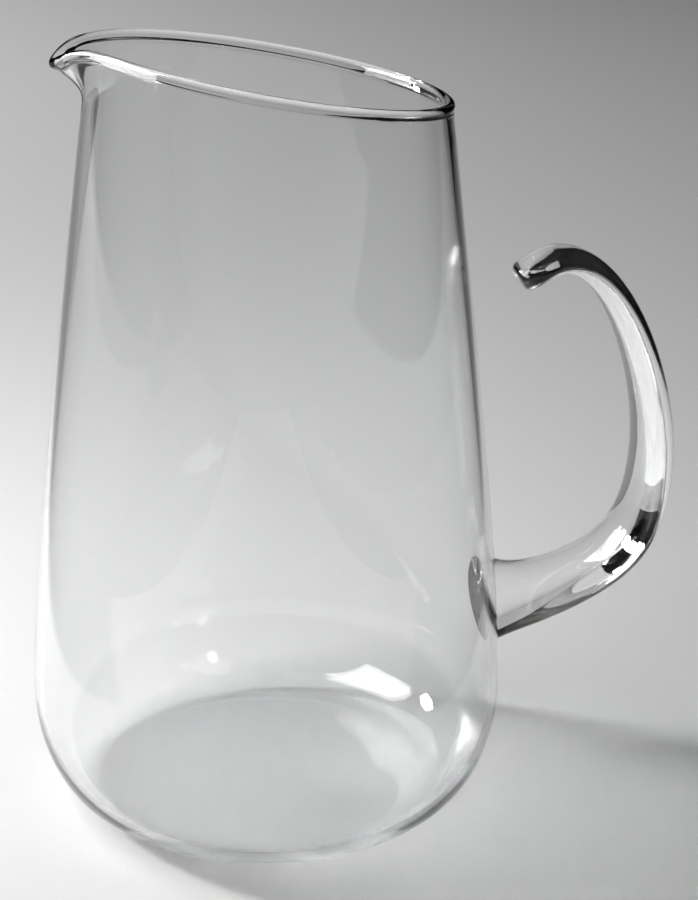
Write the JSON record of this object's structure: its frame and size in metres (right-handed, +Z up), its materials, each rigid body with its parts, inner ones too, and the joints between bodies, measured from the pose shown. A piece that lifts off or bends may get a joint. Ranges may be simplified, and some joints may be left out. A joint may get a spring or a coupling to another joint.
{
  "type": "jug",
  "caption": "Clear glass jug with a leaning wall, round heel, slanted beaded rim, pulled pouring lip and an open hook handle fused on at its foot.",
  "frame": {"origin": "centre of the flat base, on the surface it stands on", "axes": "+Z up, +X from the axis towards the handle, so the lip points to -X, +Y completes the frame"},
  "size_m": [0.1914, 0.1388, 0.2229],
  "materials": {
    "vessel_glass": "clear, fire-polished",
    "handle_glass": "clear, fire-polished, solid strap"
  },
  "bodies": {
    "root": {"vessel": "vessel_glass", "handle": "handle_glass"}
  },
  "joints": []
}
